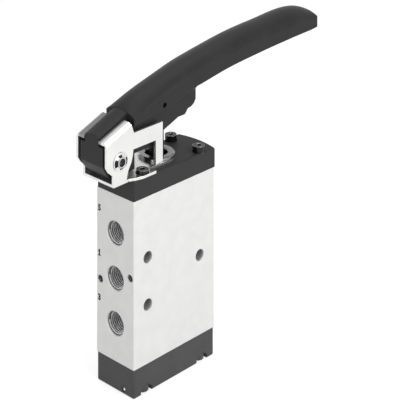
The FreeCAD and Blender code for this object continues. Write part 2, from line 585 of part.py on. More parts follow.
def make_bracket():
    """Bent sheet: plate on the cover, tongue, two ears with windows, and a lip over each ear."""
    body = new_body("bracket")
    side = "(Dims.body_width / 2 + Dims.plate_overhang)"
    ear = "Dims.ear_outer"
    plan = sketch_on(body, "XY_Plane", "plan", deck)
    corner = "Dims.plate_corner"
    outline(plan,
            [("-Dims.tongue_front", f"-{ear}"), ("-Dims.plate_front", f"-{ear}"),
             (f"-Dims.plate_front + 0.6 * {corner}", f"-{side} + 0.25 * {corner}"),
             (f"-Dims.plate_front + 1.6 * {corner}", f"-{side}"),
             ("-Dims.plate_rear", f"-{side}"), ("-Dims.plate_rear", "-Dims.eye_half"),
             ("Dims.eye_start", "-Dims.eye_half"), ("Dims.eye_start", "Dims.eye_half"),
             ("-Dims.plate_rear", "Dims.eye_half"),
             ("-Dims.plate_rear", side), (f"-Dims.plate_front + 1.6 * {corner}", side),
             (f"-Dims.plate_front + 0.6 * {corner}", f"{side} - 0.25 * {corner}"),
             ("-Dims.plate_front", ear), ("-Dims.tongue_front", ear)],
            arcs={6: "Dims.eye_half - Dims.eye_start"})
    pad(body, plan, "Dims.plate")
    pivot_z = f"({deck} + Dims.pivot_rise)"
    lip_run = "(Dims.lip_front - Dims.lip_rear)"
    lip_climb = "(Dims.lip_rear_rise - Dims.lip_front_rise)"
    shoulder_x = f"-Dims.lip_rear + (Dims.lip_rear_rise - Dims.ear_shoulder) * {lip_climb} / {lip_run}"
    ear_corners = [("-Dims.tongue_front", "0"), ("-35.1", "0"), ("-34.5", "3.1"), ("-33.6", "6.3"), ("-31.3", "10.0"),
                   ("-30.2", "13.6"), ("-29.8", "16.7"), ("-12.5", "16.7"), ("-12.5", "2.8"), ("-7.1", "3.7"),
                   ("-7.1", "Dims.ear_shoulder"), (shoulder_x, "Dims.ear_shoulder"), ("-Dims.lip_rear", "Dims.lip_rear_rise"),
                   ("-Dims.lip_front", "Dims.lip_front_rise"), ("-Dims.lip_front", "11.7"), ("-47.6", "8.6"),
                   ("-Dims.tongue_front", "5.9")]
    for name, start in (("near", f"{ear} - Dims.plate"), ("far", f"-{ear}")):
        ear_sketch = sketch_on(body, "XZ_Plane", f"ear_{name}", start)
        outline(ear_sketch, [(a, f"{deck} + {b}") for a, b in ear_corners])
        pad(body, ear_sketch, "Dims.plate")
    lip_length = f"sqrt({lip_run}^2 + {lip_climb}^2)"
    drop_rear, drop_front = f"Dims.plate * {lip_run} / {lip_length}", f"Dims.plate * {lip_length} / {lip_run}"
    for name, start in (("near", "Dims.lip_inner"), ("far", f"-{ear}")):
        lip = sketch_on(body, "XZ_Plane", f"lip_{name}", start)
        outline(lip, [("-Dims.lip_front", f"{deck} + Dims.lip_front_rise - {drop_front}"),
                      (f"-Dims.lip_rear + Dims.plate * {lip_climb} / {lip_length}",
                       f"{deck} + Dims.lip_rear_rise - {drop_rear}"),
                      ("-Dims.lip_rear", f"{deck} + Dims.lip_rear_rise"),
                      ("-Dims.lip_front", f"{deck} + Dims.lip_front_rise")])
        pad(body, lip, "Dims.ear_outer - Dims.lip_inner")
    outer = value(ear)
    front_height, rear_height = value(f"{deck} + Dims.lip_front_rise"), value(f"{deck} + Dims.lip_rear_rise")

    def is_fold(edge):
        box = edge.BoundBox
        if abs(abs(box.YMin) - outer) > 1e-6 or box.YLength > 1e-6:
            return False
        return abs(box.ZMin - front_height) < 1e-6 and abs(box.ZMax - rear_height) < 1e-6

    round_edges(body, is_fold, "Dims.fold_round")
    eye = sketch_on(body, "XY_Plane", "eye", deck)
    circles(eye, [("0", "0")], "Dims.bore_radius + Dims.bore_slip")
    pocket(body, eye, "Dims.plate", reverse=True)
    holes = sketch_on(body, "XY_Plane", "screw_holes", deck)
    circles(holes, screw_pair("-Dims.cover_screw_x"), "Dims.plate_screw_hole")
    pocket(body, holes, "Dims.plate", reverse=True)
    pin_holes = sketch_on(body, "XZ_Plane", "pin_holes")
    circles(pin_holes, [("-Dims.pivot_x", pivot_z)], "Dims.pin_radius")
    pocket(body, pin_holes, "2 * Dims.body_width", symmetric=True)
    return body


def make_pivot_pin():
    body = new_body("pivot_pin")
    pivot_z = f"({deck} + Dims.pivot_rise)"
    length = "2 * (Dims.ear_outer + Dims.pin_overhang)"
    section = sketch_on(body, "XZ_Plane", "section")
    circles(section, [("-Dims.pivot_x", pivot_z)], "Dims.pin_radius")
    pad(body, section, length, symmetric=True)
    for name, level, reverse in (("near", f"({length}) / 2", False), ("far", f"-({length}) / 2", True)):
        recess = sketch_on(body, "XZ_Plane", f"recess_{name}", level)
        circles(recess, [("-Dims.pivot_x", pivot_z)], "Dims.pin_recess_radius")
        pocket(body, recess, "Dims.pin_recess_depth", reverse=reverse)
    return body


def make_pin_clip(name, start):
    """Push-on clip against the ear, with four slots round the pin."""
    body = new_body(name)
    pivot_z = f"({deck} + Dims.pivot_rise)"
    face = sketch_on(body, "XZ_Plane", "face", start)
    circles(face, [("-Dims.pivot_x", pivot_z)], "Dims.clip_radius")
    circles(face, [("-Dims.pivot_x", pivot_z)], "Dims.pin_radius")
    pad(body, face, "Dims.clip_thickness")
    slots = sketch_on(body, "XZ_Plane", "slots", start)
    reach, half = "(Dims.clip_radius - Dims.clip_rim)", "Dims.clip_slot_half"
    inner = "(Dims.pin_radius - 0.5)"
    for across, sign in ((True, ""), (True, "-"), (False, ""), (False, "-")):
        low = [(f"{sign}{inner}", f"-{half}"), (f"{sign}{reach}", f"-{half}"), (f"{sign}{reach}", half),
               (f"{sign}{inner}", half)]
        corners = low if across else [(b, a) for a, b in low]
        outline(slots, [(f"-Dims.pivot_x + ({a})", f"{pivot_z} + ({b})") for a, b in corners])
    pocket(body, slots, "Dims.clip_thickness", reverse=True)
    return body


def lever_section(body, name, station, inset="0"):
    """One cross-section of the handle: flat underside, upright sides and a crowned top."""
    x, low, side, crown, half = station
    sketch = sketch_on(body, "YZ_Plane", name, str(x))
    width = f"({half} - {inset})"
    rise = f"(({crown} - {side}) - 0.25 * {inset})"
    outline(sketch,
            [(f"-{width}", f"{deck} + {low}"), (width, f"{deck} + {low}"),
             (width, f"{deck} + {side} - {inset}"), (f"-{width}", f"{deck} + {side} - {inset}")],
            arcs={2: rise})
    return sketch


def loft(body, sketches, cut=False, ruled=False):
    kind = "PartDesign::SubtractiveLoft" if cut else "PartDesign::AdditiveLoft"
    feature = body.newObject(kind, sketches[0].Name + "_loft")
    feature.Profile = sketches[0]
    feature.Sections = sketches[1:]
    feature.Ruled = ruled
    doc.recompute()
    return feature


# Handle sections: X, then heights above the top cover of the underside, of the sides' top edge and of the crown.
handle_stations = [
    (-28.2, 31.0, 32.7, 35.6), (-20.0, 33.2, 34.9, 40.0), (-6.0, 35.6, 38.6, 44.4), (9.0, 37.0, 42.2, 48.1),
    (24.0, 37.7, 45.4, 51.4), (41.0, 40.2, 47.8, 54.0), (60.0, 42.2, 50.2, 56.5), (80.0, 43.5, 51.2, 58.0),
    (100.0, 44.5, 51.8, 59.2), (116.0, 45.1, 52.2, 59.3), (125.0, 45.4, 52.4, 57.6),
    ("Dims.lever_end", 46.0, 52.6, 55.4),
]
# Wings under the handle's front part: X, then heights of their inner and outer lower edges and of their top.
wing_stations = [(-28.2, 28.0, 28.3, 32.0), (-6.0, 29.8, 31.0, 37.0), (22.0, 35.0, 37.4, 39.5)]
# Nose between the lips, running on into the handle: X, then heights as for the handle.
nose_stations = [(-49.4, 18.0, 26.3, 27.2), (-38.0, 21.0, 30.7, 31.6), (-28.2, 24.0, 34.5, 35.5), (-24.0, 26.0, 36.0, 37.0)]


def side_outline(sketch, corners, arcs=None):
    """Outline in the middle plane from corners whose heights count from the top cover."""
    outline(sketch, [(str(a), f"{deck} + {b}") for a, b in corners], arcs)


# Lever outlines: X, then height above the top cover. The hub's underside clears the tongue when pressed.
hub_and_skirt = [
    (-49.4, 21.9), (-49.4, 11.4), (-44.3, 4.2), (-42.0, 2.4), (-37.5, 2.2), (-25.8, 4.0), (-25.8, 15.0),
    (-14.0, 15.0), (8.8, 22.9), (14.2, 22.9), (16.6, 25.6), (18.4, 25.9), (23.0, 29.8), (23.0, 38.8),
    (9.0, 39.4), (-6.0, 37.3), (-20.0, 35.0), (-28.2, 32.4), (-28.2, 30.0),
]
hub_arcs = {1: "0.4", 2: "0.3", 11: "0.9"}
skirt_hollow = [(-22.5, 10.0), (20.8, 10.0), (20.8, 44.0), (8.0, 41.0), (-6.0, 37.5), (-22.5, 31.5)]


def cavity_stations():
    """The cavity follows the handle from behind the skirt to the end wall, open below."""
    stations = [(max(x, 25.2), 30.0, flank, crown) for x, _, flank, crown in handle_stations[4:-1]]
    _, _, flank, crown = handle_stations[-1]
    return stations + [("Dims.lever_end - Dims.lever_wall", 30.0, flank, crown)]


def make_lever():
    """Moulded lever: hub between the ears, skirt over the push rod, crowned hollow handle."""
    body = new_body("lever")
    wall, half = "Dims.lever_wall", "Dims.lever_half"
    outer = [lever_section(body, f"outer_{i}", station + (half,)) for i, station in enumerate(handle_stations)]
    loft(body, outer)
    wings = []
    for i, (x, inner, outside, top) in enumerate(wing_stations):
        section = sketch_on(body, "YZ_Plane", f"wings_{i}", str(x))
        edge = f"({half} - Dims.wing_inset)"
        corners = [("-Dims.hub_half", inner), ("Dims.hub_half", inner), (edge, outside), (edge, top),
                   (f"-{edge}", top), (f"-{edge}", outside)]
        outline(section, [(a, f"{deck} + {b}") for a, b in corners])
        wings.append(section)
    loft(body, wings, ruled=True)
    side = sketch_on(body, "XZ_Plane", "hub_and_skirt")
    side_outline(side, hub_and_skirt, hub_arcs)
    pad(body, side, "2 * Dims.hub_half", symmetric=True)
    nose_half = "(Dims.lip_inner - Dims.nose_gap)"
    nose = [lever_section(body, f"nose_{i}", station + (nose_half,)) for i, station in enumerate(nose_stations)]
    loft(body, nose)
    inner = [lever_section(body, f"inner_{i}", station + (half,), wall) for i, station in enumerate(cavity_stations())]
    loft(body, inner, cut=True)
    hollow = sketch_on(body, "XZ_Plane", "skirt_hollow")
    side_outline(hollow, skirt_hollow)
    pocket(body, hollow, f"2 * (Dims.hub_half - {wall})", symmetric=True)
    press = sketch_on(body, "XZ_Plane", "pressing_pad")
    side_outline(press, [(-5.0, "Dims.pad_rise"), (5.0, "Dims.pad_rise"), (5.0, 41.5), (-5.0, 38.5)])
    pad(body, press, f"2 * (Dims.hub_half - {wall}) + 0.4", symmetric=True)
    for x, _, flank, crown in handle_stations[6:9]:
        station = (x, "Dims.rib_rise", flank, crown, half)
        rib = lever_section(body, f"rib_{int(x)}", station, f"({wall} - Dims.rib_overlap)")
        pad(body, rib, "Dims.rib_thickness")
    pivot_z = f"({deck} + Dims.pivot_rise)"
    bearing = sketch_on(body, "XZ_Plane", "bearing")
    circles(bearing, [("-Dims.pivot_x", pivot_z)], "Dims.pin_radius + Dims.pin_clearance")
    pocket(body, bearing, "4 * Dims.hub_half", symmetric=True)
    lock = sketch_on(body, "XZ_Plane", "lock_hole")
    circles(lock, [("-Dims.lock_hole_x", f"{deck} + Dims.lock_hole_rise")], "Dims.lock_hole_radius")
    pocket(body, lock, "4 * Dims.hub_half", symmetric=True)
    return body


def make_cap_screws(name, seat, spots, shank, upward=True):
    """Four cap screws with hexagon sockets, their heads standing on a seat."""
    body = new_body(name)
    body.AllowCompound = True
    heads = sketch_on(body, "XY_Plane", "heads", seat)
    circles(heads, spots, "Dims.screw_head_radius")
    pad(body, heads, "Dims.screw_head_height", reverse=not upward)
    shanks = sketch_on(body, "XY_Plane", "shanks", seat)
    circles(shanks, spots, "Dims.cover_screw_radius")
    pad(body, shanks, shank, reverse=upward)
    sockets = sketch_on(body, "XY_Plane", "sockets", f"{seat} {'+' if upward else '-'} Dims.screw_head_height")
    reach = "Dims.hex_across / sqrt(3)"
    for x, y in spots:
        angles = [math.radians(60 * k + 30) for k in range(6)]
        outline(sockets, [(f"{x} + {math.cos(a):.6f} * {reach}", f"{y} + {math.sin(a):.6f} * {reach}") for a in angles])
    pocket(body, sockets, "Dims.hex_depth", reverse=not upward)
    return body


parts = [make_valve_body(), make_top_cover(), make_bottom_cover()]
parts.append(make_cover_seal("top_cover_seal", block_top, "-"))
parts.append(make_cover_seal("bottom_cover_seal", block_low, "+"))
parts += [make_spool_seal(number) for number in range(6)]
parts += [make_spool_cage(number) for number in range(5)]
parts.append(make_end_ring("lower_end_ring", f"{block_low} + Dims.spigot_length",
                           f"{seal_height(0)} - Dims.seal_half"))
parts.append(make_end_ring("upper_end_ring", f"{seal_height(5)} + Dims.seal_half",
                           f"{block_top} - Dims.top_spigot_length"))
parts += [make_spool(), make_spring_seat(), make_return_spring(), make_plunger()]
parts += [make_plunger_guide(), make_plunger_wiper(), make_collar(), make_bracket(), make_pivot_pin()]
parts.append(make_pin_clip("pin_clip_near", "Dims.ear_outer"))
parts.append(make_pin_clip("pin_clip_far", "-Dims.ear_outer - Dims.clip_thickness"))
parts.append(make_lever())
parts.append(make_cap_screws("top_cover_screws", f"{deck} - Dims.cover_screw_sink", top_screws,
                             "Dims.cover_height + Dims.cover_screw_depth - 2"))
parts.append(make_cap_screws("bottom_cover_screws", "Dims.base_screw_lift + Dims.screw_head_height", base_screws,
                             "Dims.base_height - Dims.screw_head_height + 10", upward=False))

doc.recompute()
for item in doc.Objects:
    if "Invalid" in item.State or "Error" in item.State:
        raise RuntimeError(f"{item.Name} failed: {item.State}")
os.makedirs("parts", exist_ok=True)
for part in parts:
    if part.Shape.isNull() or not part.Shape.isValid():
        raise RuntimeError(f"{part.Label} has no valid shape")
    part.Shape.exportStep(f"parts/{part.Label}.step")
    print(part.Label, len(part.Shape.Solids), round(part.Shape.Volume, 1))
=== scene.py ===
import bpy
import bmesh
import math
from mathutils import Matrix, Vector


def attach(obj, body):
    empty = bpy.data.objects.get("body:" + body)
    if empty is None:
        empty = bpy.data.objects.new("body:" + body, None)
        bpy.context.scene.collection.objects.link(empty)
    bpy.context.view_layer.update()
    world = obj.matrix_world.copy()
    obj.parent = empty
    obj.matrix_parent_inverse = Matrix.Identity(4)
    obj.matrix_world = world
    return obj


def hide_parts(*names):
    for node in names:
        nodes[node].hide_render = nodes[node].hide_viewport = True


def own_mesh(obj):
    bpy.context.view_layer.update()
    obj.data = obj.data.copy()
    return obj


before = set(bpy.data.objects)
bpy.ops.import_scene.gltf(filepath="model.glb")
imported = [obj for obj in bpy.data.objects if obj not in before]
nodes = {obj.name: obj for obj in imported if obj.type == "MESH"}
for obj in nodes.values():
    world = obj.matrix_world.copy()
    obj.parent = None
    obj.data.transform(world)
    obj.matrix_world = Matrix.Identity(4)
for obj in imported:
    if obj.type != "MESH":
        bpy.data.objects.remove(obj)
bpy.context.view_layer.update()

scene = bpy.context.scene

# places and sizes that several pieces share, in metres
blockHalf = dict(x=0.032, y=0.015)
portLevels = {"5": 0.0864, "1": 0.0614, "3": 0.0364, "4": 0.0739, "2": 0.0489}
pivot = dict(x=-0.0396, z=0.1318)
mergeGap = 0.000001


# every piece that the scene adds rides a body of the record and stands in one of its material slots
def addPiece(name, bm, finish, body, smooth=35.0):
    bmesh.ops.recalc_face_normals(bm, faces=bm.faces)
    mesh = bpy.data.meshes.new(name)
    bm.to_mesh(mesh)
    bm.free()
    for face in mesh.polygons:
        face.use_smooth = True
    mesh.set_sharp_from_angle(angle=math.radians(smooth))
    piece = bpy.data.objects.new(name, mesh)
    scene.collection.objects.link(piece)
    mesh.materials.append(materials[finish])
    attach(piece, body)
    return piece


def feedSocket(tree, socket, source):
    if isinstance(source, bpy.types.NodeSocket):
        tree.links.new(source, socket)
    else:
        socket.default_value = source


# a new node, its sockets named by keyword and fed with values or with other nodes' outputs
def nodeOn(tree, kind, **sources):
    node = tree.nodes.new("ShaderNode" + kind)
    for key, source in sources.items():
        feedSocket(tree, node.inputs[key.replace("_", " ")], source)
    return node


def nodeMath(tree, operation, *sources, kind="Math"):
    node = nodeOn(tree, kind)
    node.operation = operation
    for socket, source in zip(node.inputs, sources):
        feedSocket(tree, socket, source)
    return node.outputs["Value"]


# goes from low to high while the source goes from start to stop
def rangeOn(tree, source, start, stop, low=0.0, high=1.0):
    node = nodeOn(tree, "MapRange", Value=source, From_Min=start, From_Max=stop, To_Min=low, To_Max=high)
    return node.outputs["Result"]


def mixOn(tree, share, colour, other):
    mix = nodeOn(tree, "Mix")
    mix.data_type = "RGBA"
    for key, source in (("Factor", share), ("A", colour), ("B", (*other, 1.0))):
        feedSocket(tree, mix.inputs[key], source)
    return mix.outputs["Result"]


def noiseOn(tree, place, scale, detail, stretch):
    if stretch:
        place = nodeOn(tree, "Mapping", Vector=place, Scale=stretch).outputs["Vector"]
    return nodeOn(tree, "TexNoise", Vector=place, Scale=scale, Detail=detail).outputs["Fac"]


def rampOn(tree, factor, low, high, start, stop):
    ramp = nodeOn(tree, "ValToRGB", Fac=factor)
    for element, position, colour in zip(ramp.color_ramp.elements, (start, stop), (low, high)):
        element.position = position
        element.color = (*colour, 1.0)
    return ramp.outputs["Color"]


def axesOf(tree, place):
    return nodeOn(tree, "SeparateXYZ", Vector=place).outputs


# the surface's direction with its edges rounded off
def roundedNormal(tree, radius):
    rounded = nodeOn(tree, "Bevel", Radius=radius)
    rounded.samples = grainSet["edgeSamples"]
    return rounded.outputs["Normal"]


# broad: how much coarser the patches are than the grain; spans: the part of the noise's range over which
# colour and roughness change
grainSet = dict(broad=40.0, broadDetail=4.0, fineDetail=2.0, colourSpan=(0.35, 0.65), roughSpan=(0.3, 0.7),
                strength=0.6, edgeSamples=6)

holeWallAndShadeSet = dict(skin=0.0004, blend=0.0012, wall=(0.32, 0.32, 0.32))


# walls of the block's holes: freshly cut metal, darker than the anodised outside, plus painted shade for the
# holes' depth
def cutMetalAndShadeInside(tree, place, colour, use):
    axes = axesOf(tree, place)
    shares = []
    for axis, half in (("X", blockHalf["x"]), ("Y", blockHalf["y"])):
        start = half - use["skin"]
        size = nodeMath(tree, "ABSOLUTE", axes[axis])
        shares.append(rangeOn(tree, size, start, start - use["blend"]))
    return mixOn(tree, nodeMath(tree, "MULTIPLY", *shares), colour, use["wall"])


boreShadeSet = dict(radius=0.00222, blend=0.0001, wall=(0.28, 0.28, 0.285))


# hollow ends of the pivot pin, with painted shade inside the bore
def paintBoreShade(tree, place, colour, use):
    shift = nodeOn(tree, "Mapping", Vector=place, Location=(-pivot["x"], 0.0, -pivot["z"]),
                   Scale=(1.0, 0.0, 1.0))
    reach = nodeMath(tree, "LENGTH", shift.outputs["Vector"], kind="VectorMath")
    share = rangeOn(tree, reach, use["radius"] + use["blend"], use["radius"])
    return mixOn(tree, share, colour, use["wall"])


lipShadowSet = dict(above=0.141, blend=0.0005, middle=0.0012, edge=0.0084, clear=0.0098, shadowTone=(0.26, 0.26, 0.26))


# inner edges of the bracket's lips: painted shadow beside the lever's nose
def paintLipShadow(tree, place, colour, use):
    axes = axesOf(tree, place)
    raised = rangeOn(tree, axes["Z"], use["above"], use["above"] + use["blend"])
    shifted = nodeMath(tree, "SUBTRACT", axes["Y"], use["middle"])
    inner = rangeOn(tree, nodeMath(tree, "ABSOLUTE", shifted), use["clear"], use["edge"])
    return mixOn(tree, nodeMath(tree, "MULTIPLY", raised, inner), colour, use["shadowTone"])


threadLightSet = dict(level=portLevels["1"], spacing=portLevels["5"] - portLevels["1"], crest=0.00586,
                flank=0.00602, dark=(0.10, 0.10, 0.10))


# painted highlight and shade on the port threads: the crests keep the pale colour and the flanks are painted
# dark, by the distance from the nearest port's axis; the ports on the far face stand half a spacing off those
# in front
def paintThreadLight(tree, place, colour, use):
    axes = axesOf(tree, place)
    half = use["spacing"] / 2
    farFace = nodeMath(tree, "GREATER_THAN", axes["X"], 0.0)
    shift = nodeMath(tree, "MULTIPLY_ADD", farFace, half, -use["level"])
    rise = nodeMath(tree, "WRAP", nodeMath(tree, "ADD", axes["Z"], shift), half, -half)
    squares = [nodeMath(tree, "MULTIPLY", value, value) for value in (axes["Y"], rise)]
    reach = nodeMath(tree, "SQRT", nodeMath(tree, "ADD", *squares))
    return mixOn(tree, rangeOn(tree, reach, use["crest"], use["flank"]), colour, use["dark"])


edgeGlintSet = dict(radius=0.0003, flat=0.98, edgeBend=0.90, glint=(0.52, 0.52, 0.52))


# blackened screws: painted highlights on the edges of head and socket
def paintEdgeGlints(tree, place, colour, use):
    plain = nodeOn(tree, "NewGeometry").outputs["Normal"]
    bend = nodeMath(tree, "DOT_PRODUCT", roundedNormal(tree, use["radius"]), plain, kind="VectorMath")
    return mixOn(tree, rangeOn(tree, bend, use["flat"], use["edgeBend"]), colour, use["glint"])


# per finish: colour pair, metallic, roughness pair, specular level, grains per metre, bump depth and edge
# rounding in metres, and where the grain runs one way, its stretch
finishes = {
    "anodised": dict(
        low=(0.675, 0.675, 0.67), high=(0.71, 0.71, 0.705), metal=0.12, rough=(0.48, 0.54), shine=0.4,
        grain=5200.0, depth=0.000012, edge=0.0003),
    "coverPlastic": dict(
        low=(0.023, 0.023, 0.024), high=(0.027, 0.027, 0.028), metal=0.0, rough=(0.52, 0.62), shine=0.22,
        grain=3600.0, depth=0.00002, edge=0.0004),
    # the base's black plastic is painted lighter than the top cover's, for the floor's light on the lower
    # cover
    "floorLitBasePlastic": dict(
        low=(0.046, 0.046, 0.047), high=(0.058, 0.058, 0.059), metal=0.0, rough=(0.55, 0.65), shine=0.32,
        grain=3600.0, depth=0.00002, edge=0.0004),
    "leverPlastic": dict(
        low=(0.012, 0.012, 0.013), high=(0.016, 0.016, 0.017), metal=0.0, rough=(0.42, 0.50), shine=0.22,
        grain=3200.0, depth=0.00002, edge=0.0010),
    "zincSheet": dict(
        low=(0.69, 0.69, 0.68), high=(0.77, 0.77, 0.76), metal=0.9, rough=(0.18, 0.26), shine=0.5,
        grain=1600.0, depth=0.000006, edge=0.0003, stretch=(1.0, 5.0, 1.0)),
    "turnedSteel": dict(
        low=(0.44, 0.45, 0.46), high=(0.58, 0.59, 0.60), metal=1.0, rough=(0.20, 0.30), shine=0.5,
        grain=2500.0, depth=0.000008, edge=0.0002, stretch=(1.0, 8.0, 1.0)),
    "collarMetal": dict(
        low=(0.20, 0.20, 0.205), high=(0.26, 0.26, 0.265), metal=0.95, rough=(0.14, 0.22), shine=0.5,
        grain=2400.0, depth=0.00001, edge=0.0003),
    "darkRod": dict(
        low=(0.012, 0.012, 0.013), high=(0.018, 0.018, 0.019), metal=0.0, rough=(0.26, 0.36), shine=0.45,
        grain=2600.0, depth=0.000008, edge=0.0002, stretch=(1.0, 1.0, 6.0)),
    "blackScrew": dict(
        low=(0.014, 0.014, 0.015), high=(0.022, 0.022, 0.023), metal=0.7, rough=(0.16, 0.26), shine=0.5,
        grain=3000.0, depth=0.000008, edge=0.0003),
    "greyScrew": dict(
        low=(0.045, 0.045, 0.046), high=(0.062, 0.062, 0.063), metal=0.3, rough=(0.34, 0.46), shine=0.4,
        grain=3000.0, depth=0.000008, edge=0.0003),
    "sealRubber": dict(
        low=(0.014, 0.014, 0.014), high=(0.020, 0.020, 0.020), metal=0.0, rough=(0.6, 0.7), shine=0.3,
        grain=2600.0, depth=0.00001, edge=0.0),
    "innerPlastic": dict(
        low=(0.60, 0.59, 0.55), high=(0.66, 0.65, 0.61), metal=0.0, rough=(0.4, 0.5), shine=0.4,
        grain=1900.0, depth=0.000008, edge=0.0),
    "turnedAluminium": dict(
        low=(0.62, 0.62, 0.63), high=(0.70, 0.70, 0.71), metal=0.9, rough=(0.22, 0.3), shine=0.5,
        grain=2300.0, depth=0.000008, edge=0.0, stretch=(1.0, 1.0, 9.0)),
    # threadMetal's pale colour is the painted highlight on the thread crests
    "threadMetal": dict(
        low=(0.90, 0.90, 0.90), high=(0.96, 0.96, 0.96), metal=0.3, rough=(0.26, 0.36), shine=0.5,
        grain=3000.0, depth=0.000006, edge=0.0),
    "printedBlack": dict(
        low=(0.004, 0.004, 0.004), high=(0.007, 0.007, 0.007), metal=0.0, rough=(0.5, 0.6), shine=0.1,
        grain=5000.0, depth=0.000004, edge=0.0),
    "sinteredPlug": dict(
        low=(0.78, 0.77, 0.74), high=(0.90, 0.89, 0.86), metal=0.6, rough=(0.35, 0.5), shine=0.5,
        grain=3200.0, depth=0.00005, edge=0.0),
}
# finishes whose colour changes over the piece, with the function that changes it: painted shade and
# highlight, and in the block's holes also the cut metal's own colour
shades = {
    "anodised": (cutMetalAndShadeInside, holeWallAndShadeSet), "turnedSteel": (paintBoreShade, boreShadeSet),
    "zincSheet": (paintLipShadow, lipShadowSet), "threadMetal": (paintThreadLight, threadLightSet),
    "blackScrew": (paintEdgeGlints, edgeGlintSet),
}


def makeFinish(name):
    use = finishes[name]
    material = bpy.data.materials.new(name)
    material.use_nodes = True
    tree = material.node_tree
    place = nodeOn(tree, "TexCoord").outputs["Object"]
    stretch = use.get("stretch")
    broad = noiseOn(tree, place, use["grain"] / grainSet["broad"], grainSet["broadDetail"], stretch)
    fine = noiseOn(tree, place, use["grain"], grainSet["fineDetail"], stretch)
    colour = rampOn(tree, broad, use["low"], use["high"], *grainSet["colourSpan"])
    if name in shades:
        shade, shadeSet = shades[name]
        colour = shade(tree, place, colour, shadeSet)
    rough = rangeOn(tree, broad, *grainSet["roughSpan"], *use["rough"])
    bump = nodeOn(tree, "Bump", Strength=grainSet["strength"], Distance=use["depth"], Height=fine)
    if use["edge"]:
        feedSocket(tree, bump.inputs["Normal"], roundedNormal(tree, use["edge"]))
    sources = {"Base Color": colour, "Metallic": use["metal"], "Specular IOR Level": use["shine"],
               "Roughness": rough, "Normal": bump.outputs["Normal"]}
    for key, source in sources.items():
        feedSocket(tree, tree.nodes["Principled BSDF"].inputs[key], source)
    return material


materials = {name: makeFinish(name) for name in finishes}
print("materials made:", len(materials))

nodeFinish = {
    "valve_body": "anodised", "top_cover": "coverPlastic", "bottom_cover": "floorLitBasePlastic",
    "lever": "leverPlastic", "bracket": "zincSheet", "collar": "collarMetal", "pivot_pin": "turnedSteel",
    "plunger": "darkRod", "plunger_guide": "innerPlastic", "plunger_wiper": "sealRubber",
    "spool": "turnedAluminium", "spring_seat": "turnedAluminium", "return_spring": "turnedSteel",
    "pin_clip_near": "zincSheet", "pin_clip_far": "zincSheet", "bottom_cover_screws": "greyScrew",
}
# the other nodes go by a word in their name
wordFinish = {
    "seal": "sealRubber", "cage": "innerPlastic", "end_ring": "innerPlastic", "screws": "blackScrew",
}
for name, node in nodes.items():
    finish = nodeFinish.get(name)
    if finish is None:
        finish = next(wordFinish[word] for word in wordFinish if word in name)
    for slot in node.material_slots:
        slot.material = materials[finish]
print("CAD nodes dressed:", len(nodes))


# a chain of corners and the edges between them, closed into a loop where that is asked for
def profileOn(bm, points, closed=False):
    corners = [bm.verts.new(point) for point in points]
    others = corners[1:] + corners[:1] if closed else corners[1:]
    return corners, [bm.edges.new(pair) for pair in zip(corners, others)]


def fullSpin(bm, profile, centre, axis, steps):
    corners, edges = profile
    bmesh.ops.spin(bm, geom=corners + edges, cent=centre, axis=axis, dvec=(0.0, 0.0, 0.0),
                   angle=2.0 * math.pi, steps=steps, use_merge=True, use_duplicate=False)


# a flat or dished sheet gets its thickness, with its rim closed
def thicken(bm, faces, shift):
    sheet = bmesh.ops.extrude_face_region(bm, geom=faces)["geom"]
    raised = [item for item in sheet if isinstance(item, bmesh.types.BMVert)]
    bmesh.ops.translate(bm, vec=shift, verts=raised)


# foot: half the ridge's width as a share of the pitch; flat: the crest's width as a share of the foot's
threadSet = dict(wide=0.00664, root=0.00652, crest=0.00578, pitch=0.001337, foot=0.42, flat=0.5, turns=7.5,
                 start=0.0010, perTurn=40)
tapSet = dict(wide=0.00214, root=0.00205, crest=0.00180, pitch=0.0008, foot=0.42, flat=0.5, turns=8.0,
              start=0.0003, perTurn=24)
# the M5 threads beside port 1: distance from the middle plane and height
tapPlaces = {"Near": (-0.012, 0.0655), "Far": (0.012, 0.0573)}


def portSide(mark):
    return 1.0 if mark in "42" else -1.0


# one helical ridge per hole: a flat-topped profile swept round the hole's axis, its ends capped
def makeThread(name, side, across, level, use, finish):
    bm = bmesh.new()
    foot = use["pitch"] * use["foot"]
    flat = foot * use["flat"]
    middle = blockHalf["x"] - use["start"] - foot
    ridge = [(use["wide"], -foot), (use["root"], -foot), (use["crest"], -flat), (use["crest"], flat),
             (use["root"], foot), (use["wide"], foot)]
    points = [(side * (middle - along), across + radius, level) for radius, along in ridge]
    corners, edges = profileOn(bm, points, closed=True)
    shift = -side * use["pitch"] / use["perTurn"]
    swept = bmesh.ops.spin(bm, geom=corners + edges, cent=(0.0, across, level), axis=(side, 0.0, 0.0),
                           dvec=(shift, 0.0, 0.0), angle=use["turns"] * 2.0 * math.pi,
                           steps=int(use["turns"] * use["perTurn"]), use_merge=False, use_duplicate=False)
    lastCorners = [item for item in swept["geom_last"] if isinstance(item, bmesh.types.BMVert)]
    for end in (corners, lastCorners):
        bmesh.ops.contextual_create(bm, geom=end)
    addPiece(name, bm, finish, "valve_body", smooth=50.0)


for mark, level in portLevels.items():
    makeThread("portThread" + mark, portSide(mark), 0.0, level, threadSet, "threadMetal")
for nameEnd, (across, level) in tapPlaces.items():
    makeThread("tapThread" + nameEnd, -1.0, across, level, tapSet, "collarMetal")
print("threads made:", len(portLevels) + len(tapPlaces))

# figure is the share of the letter size that a number's height takes; the 1 gets the foot and the flag
markSet = dict(
    height=0.0033, figure=0.72, bold=0.00022, widen=0.98, thick=0.00004, side=0.0128, rise=0.0103,
    weld=0.000002,
    strokes=dict(foot=dict(across=0.0, up=-0.00150, long=0.0019, high=0.00055, degrees=0.0),
                 flag=dict(across=-0.00045, up=0.00115, long=0.0012, high=0.00055, degrees=40.0)))


